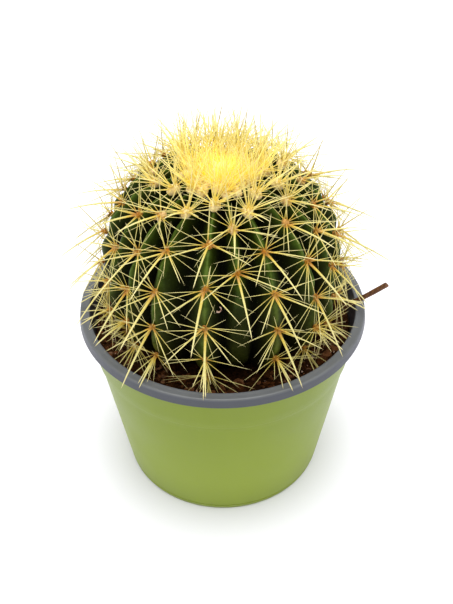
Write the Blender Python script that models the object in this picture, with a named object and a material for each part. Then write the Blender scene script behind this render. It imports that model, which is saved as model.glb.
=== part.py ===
"""Potted round cactus: a ribbed barrel cactus in a two-tone plastic nursery pot.

Metres, +Z up. The origin is the centre of the pot's underside, and the plant leans a little towards -Y.
"""

import math
import random

import bmesh
import bpy
from mathutils import Matrix, Vector

# Pot
RIM_RADIUS = 0.075
POT_HEIGHT = 0.105
BASE_RADIUS = 0.0556
WALL = 0.0011
WALL_SLOPE = 0.161
BASE_ROUND = 0.0012
LIP_DROP = 0.0050
LIP_FLARE = 0.0006
LIP_THICKNESS = 0.0012
RING_HEIGHT = 0.0785
RING_STEP = 0.0004
GAP = 0.0003
POT_SEGMENTS = 48
DRAIN_HOLES = 6
DRAIN_RADIUS = 0.004
DRAIN_CIRCLE = 0.036

# Soil
SOIL_LEVEL = 0.0930
SOIL_ROUGHNESS = 0.0008
SOCKET_CLEARANCE = 0.0005

# Plant, in its own frame: origin at the widest section, +Z to the growing point
PLANT_CENTRE = Vector((0.0, -0.0027, 0.1255))
PLANT_LEAN = math.radians(5.6)
STEM_RADIUS = 0.060
STEM_TOP = 0.0616
STEM_BOTTOM = 0.042
STEM_CUT = 0.0398
SHOULDER_POWER = 2.53
RIB_DEPTH = 0.0100
RIB_ANGLES = (
    -87, -65.5, -49, -32.5, -8, 8, 24.5, 47, 63, 78,
    96, 114, 131, 149, 166.5, 184, 202, 220, 237.5, 255,
)
RIB_COLUMNS = 4
STEM_RINGS = 13

# Felt pads (areoles) and spines
PAD_SPACING = 0.0195
PAD_SHIFT = 0.0070
PAD_FIRST = 0.0310
PAD_NEAREST_CROWN = 0.0130
PAD_SOIL_CLEARANCE = 0.0070
PAD_LENGTH = 0.0028
PAD_WIDTH = 0.0030
PAD_HEIGHT = 0.0016
FELT_WIDTH = 0.0010
FELT_HEIGHT = 0.0007
FELT_LIFT = 0.0005
CENTRAL_LENGTH = 0.0250
YOUNG_LEAN = -8.0
OLD_LEAN = 38.0
SIDE_RISE = 0.0120
NARROWEST_SIDE_REACH = 0.0035
SPINE_SOIL_GAP = 0.0060
SPINE_REACH_IN_POT = 0.0665
SPINE_RIM_GAP = 0.0015
BARE_RIB = 5
BARE_RIB_PADS = 3

# Growing point
WOOL_RADIUS = 0.0110
WOOL_HEIGHT = 0.0030
TUFT_RADIUS = 0.0078
TUFT_FELT = 0.0008
CROWN_SPINE = 0.0225
CROWN_SPREAD = 0.16

# Roots
ROOT_RADIUS = 0.0090
ROOT_LENGTH = 0.0480
ROOT_SIDES = 10

# Twig, from its buried end to its free end
TWIG_FOOT = Vector((0.0576, -0.0022, 0.0953))
TWIG_TIP = Vector((0.0823, -0.0150, 0.1255))
TWIG_WIDTH = 0.0026
TWIG_THICKNESS = 0.0016

PLANT_FRAME = Matrix.Translation(PLANT_CENTRE) @ Matrix.Rotation(PLANT_LEAN, 4, "X")


def clear_scene():
    for old in list(bpy.data.objects):
        bpy.data.objects.remove(old, do_unlink=True)


def material(name, colour, roughness, metallic=0.0):
    made = bpy.data.materials.new(name)
    made.use_nodes = True
    shader = made.node_tree.nodes["Principled BSDF"]
    shader.inputs["Base Color"].default_value = (*colour, 1.0)
    shader.inputs["Roughness"].default_value = roughness
    shader.inputs["Metallic"].default_value = metallic
    return made


def add_object(name, mesh_data, finish, place=None):
    """Turns a bmesh into a named object with one material."""
    bmesh.ops.recalc_face_normals(mesh_data, faces=mesh_data.faces)
    mesh = bpy.data.meshes.new(name)
    mesh_data.to_mesh(mesh)
    mesh_data.free()
    if place is not None:
        mesh.transform(place)
    mesh.materials.append(finish)
    made = bpy.data.objects.new(name, mesh)
    bpy.context.collection.objects.link(made)
    return made


def smooth(made, degrees=35):
    made.data.shade_smooth()
    made.data.set_sharp_from_angle(angle=math.radians(degrees))


def ring(mesh_data, count, point_at):
    return [mesh_data.verts.new(point_at(i)) for i in range(count)]


def bridge_rings(mesh_data, first, second):
    for i in range(len(first)):
        j = (i + 1) % len(first)
        mesh_data.faces.new((first[i], first[j], second[j], second[i]))


def turned(profile, segments):
    """A profile of (radius, height) turned about Z; points on the axis become poles."""
    mesh_data = bmesh.new()
    previous = None
    for radius, height in profile:
        if radius == 0.0:
            pole = mesh_data.verts.new((0.0, 0.0, height))
            if previous:
                close_pole(mesh_data, previous, pole)
            current = pole
        else:
            current = ring(
                mesh_data,
                segments,
                lambda i: (
                    radius * math.cos(math.tau * i / segments),
                    radius * math.sin(math.tau * i / segments),
                    height,
                ),
            )
            if isinstance(previous, list):
                bridge_rings(mesh_data, previous, current)
            elif previous is not None:
                close_pole(mesh_data, current, previous)
        previous = current
    return mesh_data


def close_pole(mesh_data, around, pole):
    for i in range(len(around)):
        mesh_data.faces.new((around[i], around[(i + 1) % len(around)], pole))


def cut(target, cutter):
    cutter.hide_render = True
    cutter.display_type = "WIRE"
    modifier = target.modifiers.new(cutter.name, "BOOLEAN")
    modifier.operation = "DIFFERENCE"
    modifier.object = cutter


# ---- pot ----

def shell_radius(height):
    return BASE_RADIUS + WALL_SLOPE * height


def make_pot_shell(finish):
    top = POT_HEIGHT - LIP_THICKNESS - GAP * 2
    profile = [
        (0.0, 0.0),
        (BASE_RADIUS - BASE_ROUND, 0.0),
        (shell_radius(BASE_ROUND), BASE_ROUND),
        (shell_radius(RING_HEIGHT), RING_HEIGHT),
        (shell_radius(RING_HEIGHT) + RING_STEP, RING_HEIGHT + RING_STEP),
        (shell_radius(top) + RING_STEP, top),
        (shell_radius(top) - WALL, top),
        (shell_radius(WALL) - WALL, WALL),
        (0.0, WALL),
    ]
    made = add_object("pot_shell", turned(profile, POT_SEGMENTS), finish)
    smooth(made)
    return made


def liner_outer(height):
    return shell_radius(height) - WALL - GAP


def liner_inner(height):
    return liner_outer(height) - WALL


def make_pot_liner(finish):
    floor = WALL + GAP
    under_rim = POT_HEIGHT - LIP_THICKNESS
    lip_foot = POT_HEIGHT - LIP_DROP
    corner = LIP_THICKNESS * 0.5
    profile = [
        (0.0, floor),
        (liner_outer(floor), floor),
        (liner_outer(under_rim), under_rim),
        (RIM_RADIUS - LIP_THICKNESS, under_rim),
        (RIM_RADIUS + LIP_FLARE - LIP_THICKNESS, lip_foot),
        (RIM_RADIUS + LIP_FLARE, lip_foot),
        (RIM_RADIUS, POT_HEIGHT - corner),
        (RIM_RADIUS - corner, POT_HEIGHT),
        (liner_inner(POT_HEIGHT) + corner, POT_HEIGHT),
        (liner_inner(POT_HEIGHT - corner), POT_HEIGHT - corner),
        (liner_inner(floor + WALL), floor + WALL),
        (0.0, floor + WALL),
    ]
    made = add_object("pot_liner", turned(profile, POT_SEGMENTS), finish)
    smooth(made)
    return made


def drain_cutter(finish):
    """One cutter with a short cylinder for each drain hole."""
    mesh_data = bmesh.new()
    for i in range(DRAIN_HOLES):
        angle = math.tau * (i + 0.5) / DRAIN_HOLES
        place = Matrix.Translation((DRAIN_CIRCLE * math.cos(angle), DRAIN_CIRCLE * math.sin(angle), 0.0))
        bmesh.ops.create_cone(
            mesh_data,
            cap_ends=True,
            segments=12,
            radius1=DRAIN_RADIUS,
            radius2=DRAIN_RADIUS,
            depth=WALL * 6,
            matrix=place,
        )
    return add_object("drain_cutter", mesh_data, finish)


# ---- stem ----

def crest_profile(turn):
    """Radius and height of the rib crests, from the growing point (turn 0) over the widest section (pi/2)."""
    side = math.sin(turn)
    up = math.cos(turn)
    if up >= 0.0:
        power = 2.0 / SHOULDER_POWER
        return STEM_RADIUS * side**power, STEM_TOP * up**power
    return STEM_RADIUS * side, STEM_BOTTOM * up


def crest_path(steps=600):
    """(distance along the crest, radius, height) from the growing point to the buried cut."""
    last_turn = math.pi - math.asin(math.sqrt(1.0 - (STEM_CUT / STEM_BOTTOM) ** 2))
    path = [(0.0, 0.0, STEM_TOP)]
    for i in range(1, steps + 1):
        radius, height = crest_profile(last_turn * (i / steps) ** 1.5)
        travelled, before_radius, before_height = path[-1]
        travelled += math.hypot(radius - before_radius, height - before_height)
        path.append((travelled, radius, height))
    return path


def on_crest(path, distance):
    for before, after in zip(path, path[1:]):
        if after[0] >= distance:
            share = (distance - before[0]) / (after[0] - before[0])
            radius = before[1] + (after[1] - before[1]) * share
            height = before[2] + (after[2] - before[2]) * share
            return radius, height
    return path[-1][1], path[-1][2]


def rib_depth(distance, whole):
    """Ribs fade out at the growing point and under the soil."""
    from_top = min(1.0, max(0.0, (distance - 0.006) / 0.030))
    from_foot = min(1.0, (whole - distance) / 0.020)
    return RIB_DEPTH * math.sin(from_top * math.pi / 2) * (0.35 + 0.65 * max(0.0, from_foot))


def stem_columns():
    """(angle, 0 on a crest to 1 in a valley) all round the stem."""
    columns = []
    for i, start in enumerate(RIB_ANGLES):
        end = RIB_ANGLES[(i + 1) % len(RIB_ANGLES)]
        if end < start:
            end += 360.0
        for j in range(RIB_COLUMNS):
            share = j / RIB_COLUMNS
            columns.append((math.radians(start + (end - start) * share), 1.0 - abs(1.0 - 2.0 * share)))
    return columns


def around_axis(angle, radius, height):
    """A point in the plant's frame; angle 0 faces -Y and grows towards +X."""
    return Vector((radius * math.sin(angle), -radius * math.cos(angle), height))


def make_stem(path, finish):
    mesh_data = bmesh.new()
    columns = stem_columns()
    whole = path[-1][0]
    first = 0.006
    rings = []
    for i in range(STEM_RINGS):
        distance = first + (whole - first) * i / (STEM_RINGS - 1)
        radius, height = on_crest(path, distance)
        depth = rib_depth(distance, whole)
        rings.append(
            [
                mesh_data.verts.new(around_axis(angle, radius - depth * valley**1.3, height))
                for angle, valley in columns
            ]
        )
    for upper, lower in zip(rings, rings[1:]):
        bridge_rings(mesh_data, upper, lower)
    close_pole(mesh_data, rings[0], mesh_data.verts.new((0.0, 0.0, STEM_TOP)))
    close_pole(mesh_data, rings[-1], mesh_data.verts.new((0.0, 0.0, path[-1][2])))
    made = add_object("stem", mesh_data, finish, PLANT_FRAME)
    smooth(made, 60)
    return made


# ---- spine rows ----

def pad_distances(rib, path):
    """Distances of a rib's felt pads from the growing point, shifted from rib to rib as the plant spirals."""
    start = (PAD_FIRST - PAD_SHIFT * rib) % PAD_SPACING
    found = []
    for i in range(12):
        distance = start + PAD_SPACING * i
        if distance < PAD_NEAREST_CROWN:
            continue
        radius, height = on_crest(path, distance)
        if rib == BARE_RIB and len(found) == BARE_RIB_PADS:
            break
        if (PLANT_FRAME @ Vector((0.0, -radius, height))).z < SOIL_LEVEL + PAD_SOIL_CLEARANCE:
            break
        found.append(distance)
    return found


def crest_frame(path, angle, distance):
    """Point, outward normal, direction to the growing point and sideways direction on a rib's crest."""
    step = 0.0005
    above = around_axis(angle, *on_crest(path, distance - step))
    below = around_axis(angle, *on_crest(path, distance + step))
    side = Vector((math.cos(angle), math.sin(angle), 0.0))
    up = (above - below).normalized()
    out = up.cross(side).normalized()
    if out.dot(around_axis(angle, 1.0, 0.0) + Vector((0.0, 0.0, 0.5))) < 0.0:
        out = -out
    return around_axis(angle, *on_crest(path, distance)), out, up, side


def strip_section(mesh_data, frame, width, height):
    """Six points round the felt strip: two underneath, then over the top."""
    point, out, up, side = frame
    base = point + out * FELT_LIFT
    shape = ((-0.5, 0.0), (-0.5, 0.5), (-0.22, 1.0), (0.22, 1.0), (0.5, 0.5), (0.5, 0.0))
    return [mesh_data.verts.new(base + side * (x * width) + out * (z * height)) for x, z in shape]


def strip_stations(distances):
    """(distance, is a pad) along the strip, with a plain section half-way between pads."""
    stations = []
    for i, distance in enumerate(distances):
        if i:
            stations.append(((distances[i - 1] + distance) / 2, False))
        stations.append((distance, True))
    return stations


def draw_spine(mesh_data, face, tip):
    """Pulls the middle of a face out to the spine's tip."""
    made = bmesh.ops.poke(mesh_data, faces=[face])
    made["verts"][0].co = tip


def kept_clear(base, tip):
    """The tip moved, where it has to be, so that the spine clears the soil and the pot's wall."""
    start = PLANT_FRAME @ base
    end = PLANT_FRAME @ tip
    end.z = max(end.z, SOIL_LEVEL + SPINE_SOIL_GAP)
    reach = end.xy.length
    if reach > SPINE_REACH_IN_POT:
        over_rim = min(reach, RIM_RADIUS + SPINE_RIM_GAP)
        share = (over_rim - start.xy.length) / (reach - start.xy.length)
        height_there = start.z + (end.z - start.z) * share
        if height_there < POT_HEIGHT + SPINE_RIM_GAP:
            end.xy = end.xy * (SPINE_REACH_IN_POT / reach)
    return PLANT_FRAME.inverted() @ end


def make_spine_row(rib, path, finish):
    angle = math.radians(RIB_ANGLES[rib])
    distances = pad_distances(rib, path)
    mesh_data = bmesh.new()
    sections = []
    pads = []
    for distance, is_pad in strip_stations(distances):
        if not is_pad:
            frame = crest_frame(path, angle, distance)
            sections.append(strip_section(mesh_data, frame, FELT_WIDTH, FELT_HEIGHT))
            continue
        before = crest_frame(path, angle, distance - PAD_LENGTH / 2)
        after = crest_frame(path, angle, distance + PAD_LENGTH / 2)
        sections.append(strip_section(mesh_data, before, PAD_WIDTH, PAD_HEIGHT))
        sections.append(strip_section(mesh_data, after, PAD_WIDTH, PAD_HEIGHT))
        pads.append((distance, len(sections) - 1))
    bands = []
    for upper, lower in zip(sections, sections[1:]):
        bands.append([
            mesh_data.faces.new((upper[i], upper[(i + 1) % 6], lower[(i + 1) % 6], lower[i]))
            for i in range(6)
        ])
    mesh_data.faces.new(sections[0])
    mesh_data.faces.new(sections[-1])
    for distance, index in pads:
        raise_spines(mesh_data, bands[index - 1], crest_frame(path, angle, distance), rib, distance)
    return add_object(f"spine_row_{rib + 1:02d}", mesh_data, finish, PLANT_FRAME)


def raise_spines(mesh_data, band, frame, rib, distance):
    """One long middle spine and, where the rib's sector is wide enough, two shorter ones to each side."""
    point, out, up, side = frame
    age = min(1.0, distance / 0.060)
    lean_down = math.radians(YOUNG_LEAN + (OLD_LEAN - YOUNG_LEAN) * age)
    length = CENTRAL_LENGTH * (0.80 + 0.20 * age)
    middle = out * math.cos(lean_down) - up * math.sin(lean_down)
    draw_spine(mesh_data, band[2], kept_clear(point, point + middle * length))
    radius = math.hypot(point.x, point.y)
    for direction, faces in ((-1, (0, 1)), (1, (4, 3))):
        reach = radius * math.sin(half_sector(rib, direction)) - 0.0010
        if reach < NARROWEST_SIDE_REACH:
            continue
        low, high = faces
        rise = SIDE_RISE * (0.35 + 0.65 * age)
        upper = point + out * rise + side * (direction * reach * 0.75) + up * (rise * 0.6)
        lower = point + out * (rise * 0.6) + side * (direction * reach) - up * (rise * 0.25)
        draw_spine(mesh_data, band[high], kept_clear(point, upper))
        draw_spine(mesh_data, band[low], kept_clear(point, lower))


def half_sector(rib, direction):
    here = RIB_ANGLES[rib]
    other = RIB_ANGLES[(rib + direction) % len(RIB_ANGLES)]
    apart = abs(here - other) % 360.0
    return math.radians(min(apart, 360.0 - apart)) / 2


# ---- growing point ----

def make_crown_wool(finish):
    """The felt cap over the growing point, flat on top where the youngest spines stand."""
    foot = STEM_TOP + GAP
    top = foot + WOOL_HEIGHT
    profile = [
        (0.0, foot),
        (WOOL_RADIUS, foot),
        (WOOL_RADIUS * 0.95, foot + WOOL_HEIGHT * 0.55),
        (WOOL_RADIUS * 0.80, top),
        (0.0, top),
    ]
    return add_object("crown_wool", turned(profile, 20), finish, PLANT_FRAME)


def make_crown_spines(finish):
    """The youngest spines, standing upright from a thin patch of felt on the cap."""
    foot = STEM_TOP + WOOL_HEIGHT + GAP * 2
    top = foot + TUFT_FELT
    profile = [
        (0.0, foot),
        (TUFT_RADIUS, foot),
        (TUFT_RADIUS, top),
        (TUFT_RADIUS * 0.62, top + TUFT_FELT * 0.3),
        (TUFT_RADIUS * 0.28, top + TUFT_FELT * 0.4),
        (0.0, top + TUFT_FELT * 0.4),
    ]
    mesh_data = turned(profile, 14)
    spots = [
        face for face in mesh_data.faces
        if len(face.verts) == 4 and face.calc_center_median().z > top
    ]
    for face in spots[::2]:
        centre = face.calc_center_median()
        spread = Vector((centre.x, centre.y, 0.0)) / TUFT_RADIUS * (CROWN_SPREAD * CROWN_SPINE)
        draw_spine(mesh_data, face, centre + spread + Vector((0.0, 0.0, CROWN_SPINE)))
    return add_object("crown_spines", mesh_data, finish, PLANT_FRAME)


# ---- roots and soil ----

def root_bmesh(grow=0.0):
    """A tapering root crown with side roots drawn out of alternate faces of its rings."""
    top = -STEM_CUT - GAP
    profile = [
        (0.0, top),
        (ROOT_RADIUS, top),
        (ROOT_RADIUS * 0.75, top - ROOT_LENGTH * 0.22),
        (ROOT_RADIUS * 0.55, top - ROOT_LENGTH * 0.48),
        (ROOT_RADIUS * 0.32, top - ROOT_LENGTH * 0.75),
        (0.0, top - ROOT_LENGTH),
    ]
    mesh_data = turned(profile, ROOT_SIDES)
    bmesh.ops.recalc_face_normals(mesh_data, faces=mesh_data.faces)
    middle = top - ROOT_LENGTH * 0.35
    starts = [
        face for face in mesh_data.faces
        if len(face.verts) == 4 and abs(face.calc_center_median().z - middle) < ROOT_LENGTH * 0.10
    ]
    starts.sort(key=lambda face: math.atan2(face.calc_center_median().y, face.calc_center_median().x))
    for face in starts[::2]:
        grow_side_root(mesh_data, face)
    if grow:
        mesh_data.normal_update()
        for vert in mesh_data.verts:
            vert.co += vert.normal * (grow * vert.calc_shell_factor())
    return mesh_data


def grow_side_root(mesh_data, face):
    centre = face.calc_center_median()
    out = Vector((centre.x, centre.y, 0.0)).normalized()
    for fall, reach, shrink in ((0.003, 0.010, 0.60), (0.007, 0.010, 0.70), (0.011, 0.008, 0.55)):
        face = bmesh.ops.extrude_discrete_faces(mesh_data, faces=[face])["faces"][0]
        bmesh.ops.translate(mesh_data, verts=face.verts, vec=out * reach - Vector((0.0, 0.0, fall)))
        middle = face.calc_center_median()
        for vert in face.verts:
            vert.co = middle + (vert.co - middle) * shrink


def make_roots(finish):
    return add_object("roots", root_bmesh(), finish, PLANT_FRAME)


def socket_cutter(path, finish):
    """The stem's envelope, a little larger, for the hollow it sits in."""
    profile = [(0.0, -STEM_CUT - SOCKET_CLEARANCE)]
    steps = 14
    for i in range(steps + 1):
        distance = path[-1][0] - i * 0.055 / steps
        radius, height = on_crest(path, distance)
        profile.append((radius + SOCKET_CLEARANCE, height - (SOCKET_CLEARANCE if i == 0 else 0.0)))
    profile.append((0.0, profile[-1][1]))
    made = add_object("stem_socket", turned(profile, 48), finish, PLANT_FRAME)
    return made


def make_soil(path, finish):
    rough = random.Random(7)
    floor = WALL * 2 + GAP * 2
    wall = SOIL_LEVEL - 0.0012
    profile = [
        (0.0, floor),
        (liner_inner(floor) - GAP, floor),
        (liner_inner(wall) - GAP, wall),
        (0.066, SOIL_LEVEL),
        (0.062, SOIL_LEVEL),
        (0.057, SOIL_LEVEL),
        (0.050, SOIL_LEVEL),
        (0.0, SOIL_LEVEL),
    ]
    mesh_data = turned(profile, 40)
    for vert in mesh_data.verts:
        if vert.co.z > wall + 0.0001 and vert.co.xy.length > 0.001:
            vert.co.z += rough.uniform(-SOIL_ROUGHNESS, SOIL_ROUGHNESS)
    made = add_object("soil", mesh_data, finish)
    cut(made, socket_cutter(path, finish))
    cut(made, add_object("root_socket", root_bmesh(grow=0.0006), finish, PLANT_FRAME))
    return made


# ---- loose bits ----

def lump(name, place, size, seed, finish):
    """An irregular crumb, lying just above the soil."""
    rough = random.Random(seed)
    mesh_data = bmesh.new()
    bmesh.ops.create_icosphere(mesh_data, subdivisions=1, radius=1.0)
    for vert in mesh_data.verts:
        vert.co *= rough.uniform(0.8, 1.15)
        vert.co = Vector((vert.co.x * size[0], vert.co.y * size[1], vert.co.z * size[2]))
    lowest = min(vert.co.z for vert in mesh_data.verts)
    stand = SOIL_LEVEL + SOIL_ROUGHNESS + GAP - lowest
    turn = Matrix.Rotation(rough.uniform(0, math.tau), 4, "Z")
    return add_object(name, mesh_data, finish, Matrix.Translation((place[0], place[1], stand)) @ turn)


def make_loose_bits(clod_finish, grit_finish):
    """Clods and grit lie in the ring of open soil between the plant and the wall."""
    spots = (
        ("clod_1", -24, 0.0630, 0.0030),
        ("clod_2", 18, 0.0632, 0.0026),
        ("clod_3", 52, 0.0628, 0.0034),
        ("clod_4", -47, 0.0632, 0.0024),
        ("clod_5", 150, 0.0630, 0.0030),
        ("clod_6", 222, 0.0632, 0.0026),
    )
    for seed, (name, degrees, radius, size) in enumerate(spots):
        place = around_axis(math.radians(degrees), radius, 0.0)
        lump(name, place, (size, size * 0.8, size * 0.6), seed, clod_finish)
    for seed, degrees in enumerate((-12, 5, 33)):
        place = around_axis(math.radians(degrees), 0.0650, 0.0)
        lump(f"grit_{seed + 1}", place, (0.0012, 0.0010, 0.0008), 20 + seed, grit_finish)


def make_twig(finish):
    """A flat stick, standing in the soil and leaning on the rim."""
    run = TWIG_TIP - TWIG_FOOT
    along = run.normalized()
    across = along.cross(Vector((0.0, 1.0, 0.0))).normalized()
    thick = along.cross(across).normalized()
    mesh_data = bmesh.new()
    previous = None
    for share, scale in ((0.0, 0.7), (0.35, 1.0), (0.7, 0.95), (1.0, 1.0)):
        middle = TWIG_FOOT + run * share
        section = [
            mesh_data.verts.new(
                middle
                + across * (scale * TWIG_WIDTH / 2 * math.cos(math.tau * i / 8))
                + thick * (scale * TWIG_THICKNESS / 2 * math.sin(math.tau * i / 8))
            )
            for i in range(8)
        ]
        if previous:
            bridge_rings(mesh_data, previous, section)
        else:
            mesh_data.faces.new(section)
        previous = section
    mesh_data.faces.new(previous)
    return add_object("twig", mesh_data, finish)


def build():
    clear_scene()
    path = crest_path()
    grey = material("grey_plastic", (0.17, 0.18, 0.18), 0.45)
    green = material("green_plastic", (0.27, 0.34, 0.08), 0.40)
    flesh = material("stem_skin", (0.03, 0.09, 0.02), 0.50)
    straw = material("spine_straw", (0.80, 0.62, 0.22), 0.55)
    wool = material("crown_felt", (0.85, 0.62, 0.15), 0.90)
    earth = material("soil_brown", (0.035, 0.018, 0.010), 0.95)
    bark = material("bark_brown", (0.08, 0.03, 0.015), 0.90)
    stone = material("pale_grit", (0.55, 0.38, 0.30), 0.80)
    root_skin = material("root_skin", (0.45, 0.33, 0.20), 0.85)

    shell = make_pot_shell(green)
    liner = make_pot_liner(grey)
    holes = drain_cutter(grey)
    cut(shell, holes)
    cut(liner, holes)
    make_stem(path, flesh)
    for rib in range(len(RIB_ANGLES)):
        make_spine_row(rib, path, straw)
    make_crown_wool(wool)
    make_crown_spines(straw)
    make_roots(root_skin)
    make_soil(path, earth)
    make_loose_bits(bark, stone)
    make_twig(bark)


build()
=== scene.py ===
import random
from math import acos, asin, atan2, cos, exp, hypot, pi, radians, sin, sqrt, tau

import bpy
import numpy as np
from mathutils import Matrix, Vector, noise


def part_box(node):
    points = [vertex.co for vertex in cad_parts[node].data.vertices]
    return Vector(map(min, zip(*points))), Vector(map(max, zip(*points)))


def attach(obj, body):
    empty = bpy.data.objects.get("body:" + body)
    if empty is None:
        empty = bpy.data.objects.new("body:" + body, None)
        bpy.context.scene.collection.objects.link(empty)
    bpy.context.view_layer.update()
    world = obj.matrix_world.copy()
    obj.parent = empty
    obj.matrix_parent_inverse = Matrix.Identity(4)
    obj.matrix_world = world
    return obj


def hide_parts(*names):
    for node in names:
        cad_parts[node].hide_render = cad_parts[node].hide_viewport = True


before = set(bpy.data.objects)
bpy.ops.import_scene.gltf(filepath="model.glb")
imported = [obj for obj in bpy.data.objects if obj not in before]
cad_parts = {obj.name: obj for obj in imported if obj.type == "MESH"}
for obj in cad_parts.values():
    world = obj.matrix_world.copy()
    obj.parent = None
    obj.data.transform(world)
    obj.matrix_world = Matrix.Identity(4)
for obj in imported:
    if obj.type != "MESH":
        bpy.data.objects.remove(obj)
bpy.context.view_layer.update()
scene = bpy.context.scene
scene.view_settings.view_transform = "Standard"
print("frame loaded,", len(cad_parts), "nodes")


def clearSelection():
    if bpy.context.object and bpy.context.object.mode != "OBJECT":
        bpy.ops.object.mode_set(mode="OBJECT")
    bpy.ops.object.select_all(action="DESELECT")


def pickOnly(piece):
    clearSelection()
    piece.select_set(True)
    bpy.context.view_layer.objects.active = piece


def nameNew(name):
    piece = bpy.context.active_object
    piece.name = name
    piece.data.name = name
    return piece


def fixPlace(piece):
    pickOnly(piece)
    bpy.ops.object.transform_apply(location=True, rotation=True, scale=True)


def startShape(operator, name, location=(0, 0, 0), **settings):
    # a named piece, from one of the ready-made shapes
    clearSelection()
    operator(location=location, **settings)
    return nameNew(name)


def smoothBy(piece, degrees):
    pickOnly(piece)
    bpy.ops.object.shade_smooth_by_angle(angle=radians(degrees))


def faceOutwards(piece):
    pickOnly(piece)
    bpy.ops.object.mode_set(mode="EDIT")
    bpy.ops.mesh.select_all(action="SELECT")
    bpy.ops.mesh.normals_make_consistent(inside=False)
    bpy.ops.object.mode_set(mode="OBJECT")


def cutAcross(piece, heights):
    # more rings of points on a shape that stands along Z
    fixPlace(piece)
    bpy.ops.object.mode_set(mode="EDIT")
    for height in heights:
        bpy.ops.mesh.select_all(action="SELECT")
        bpy.ops.mesh.bisect(plane_co=(0, 0, height), plane_no=(0, 0, 1))
    bpy.ops.object.mode_set(mode="OBJECT")


def joinAll(pieces, name):
    clearSelection()
    for piece in pieces:
        piece.select_set(True)
    bpy.context.view_layer.objects.active = pieces[0]
    bpy.ops.object.join()
    return nameNew(name)


def finishPiece(piece, material, slot, *nodes):
    piece.data.materials.clear()
    piece.data.materials.append(material)
    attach(piece, "root")
    if nodes:
        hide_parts(*nodes)


def getPoints(mesh):
    flat = np.empty(len(mesh.vertices) * 3)
    mesh.vertices.foreach_get("co", flat)
    return flat.reshape(-1, 3)


def setPoints(mesh, points):
    mesh.vertices.foreach_set("co", np.asarray(points, float).ravel())
    mesh.update()


def movePoints(piece, move):
    points = getPoints(piece.data)
    for index, point in enumerate(points):
        points[index] = move(Vector(point))
    setPoints(piece.data, points)


def addPointValue(mesh, name, value):
    # one value for all the points, or one for each
    layer = mesh.attributes.new(name, "FLOAT", "POINT")
    layer.data.foreach_set("value", np.full(len(mesh.vertices), value, float))


def removeAll(pieces):
    for piece in pieces:
        bpy.data.objects.remove(piece, do_unlink=True)


def nodeRadius(node, height, reach=0.0004):
    # how far a CAD node reaches from the pot's axis near one height
    points = getPoints(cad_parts[node].data)
    near = points[abs(points[:, 2] - height) < reach]
    return float(np.hypot(near[:, 0], near[:, 1]).max())


def turnProfile(name, profile, segments):
    # one ring of vertices, extruded through the profile's (radius, height) points; both ends close on the axis
    radius, height = profile[0]
    piece = startShape(bpy.ops.mesh.primitive_circle_add, name, (0, 0, height),
                       vertices=segments, radius=radius)
    fixPlace(piece)
    bpy.ops.object.mode_set(mode="EDIT")
    bpy.ops.mesh.select_all(action="SELECT")
    for nextRadius, nextHeight in profile[1:]:
        bpy.ops.mesh.extrude_region_move(TRANSFORM_OT_translate={"value": (0, 0, nextHeight - height)})
        share = nextRadius / radius
        bpy.ops.transform.resize(value=(share, share, 1), center_override=(0, 0, nextHeight))
        radius, height = nextRadius, nextHeight
    bpy.ops.mesh.select_all(action="SELECT")
    bpy.ops.mesh.fill_holes(sides=0)
    faceOutwards(piece)
    return piece


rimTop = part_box("pot_liner")[1].z
soilLevel = 0.093
linerSlope = 0.161  # how fast the liner's wall widens with height
desk = {}  # holds the node tree of the material being made


def feed(node, values):
    # an input takes another node's output, or a constant
    for name, value in values.items():
        socket = node.inputs[name]
        if isinstance(value, bpy.types.NodeSocket):
            node.id_data.links.new(value, socket)
        else:
            socket.default_value = (*value, 1) if socket.type == "RGBA" else value


def newNode(kind, values=None):
    node = desk["tree"].nodes.new("ShaderNode" + kind)
    feed(node, values or {})
    return node


def startMaterial(name, roughness, specular=0.5):
    made = bpy.data.materials.new(name)
    made.use_nodes = True
    desk["tree"] = made.node_tree
    shader = made.node_tree.nodes["Principled BSDF"]
    feed(shader, {"Roughness": roughness, "Specular IOR Level": specular})
    return made, shader


def objectPlace(stretch=(1, 1, 1)):
    coords = newNode("TexCoord")
    return newNode("Mapping", {"Vector": coords.outputs["Object"], "Scale": stretch}).outputs["Vector"]


def noiseAt(scale, detail, roughness, stretch=(1, 1, 1), distortion=0.0):
    place = objectPlace(stretch)
    return newNode("TexNoise", {
        "Vector": place, "Scale": scale, "Detail": detail, "Roughness": roughness, "Distortion": distortion,
    }).outputs["Fac"]


def attribute(name):
    node = newNode("Attribute")
    node.attribute_name = name
    return node.outputs["Fac"]


def ramp(factor, stops):
    node = newNode("ValToRGB", {"Fac": factor})
    marks = node.color_ramp.elements
    while len(marks) < len(stops):
        marks.new(0.5)
    for mark, (place, colour) in zip(marks, stops):
        mark.position = place
        mark.color = (*colour, 1)
    return node.outputs["Color"]


def span(value, low, high, toLow=0.0, toHigh=1.0):
    values = {"Value": value, "From Min": low, "From Max": high, "To Min": toLow, "To Max": toHigh}
    return newNode("MapRange", values).outputs["Result"]


def times(first, second, operation="MULTIPLY"):
    node = newNode("Math", {0: first, 1: second})
    node.operation = operation
    return node.outputs[0]


def mixColours(factor, first, second):
    node = newNode("Mix")
    node.data_type = "RGBA"
    spots = [index for index, socket in enumerate(node.inputs) if socket.type == "RGBA"]
    feed(node, {0: factor, spots[0]: first, spots[1]: second})
    return next(socket for socket in node.outputs if socket.type == "RGBA")


def tint(colour, factor, low, high, most, over):
    # a second colour over the first, from none at low to its most at high
    return mixColours(span(factor, low, high, 0.0, most), colour, over)


def bumpFrom(shader, height, strength, distance, under=None):
    node = newNode("Bump", {"Strength": strength, "Distance": distance, "Height": height})
    if under is not None:
        feed(node, {"Normal": under})
    feed(shader, {"Normal": node.outputs["Normal"]})
    return node.outputs["Normal"]


def heightOf():
    return newNode("SeparateXYZ", {"Vector": objectPlace()}).outputs["Z"]


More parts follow.
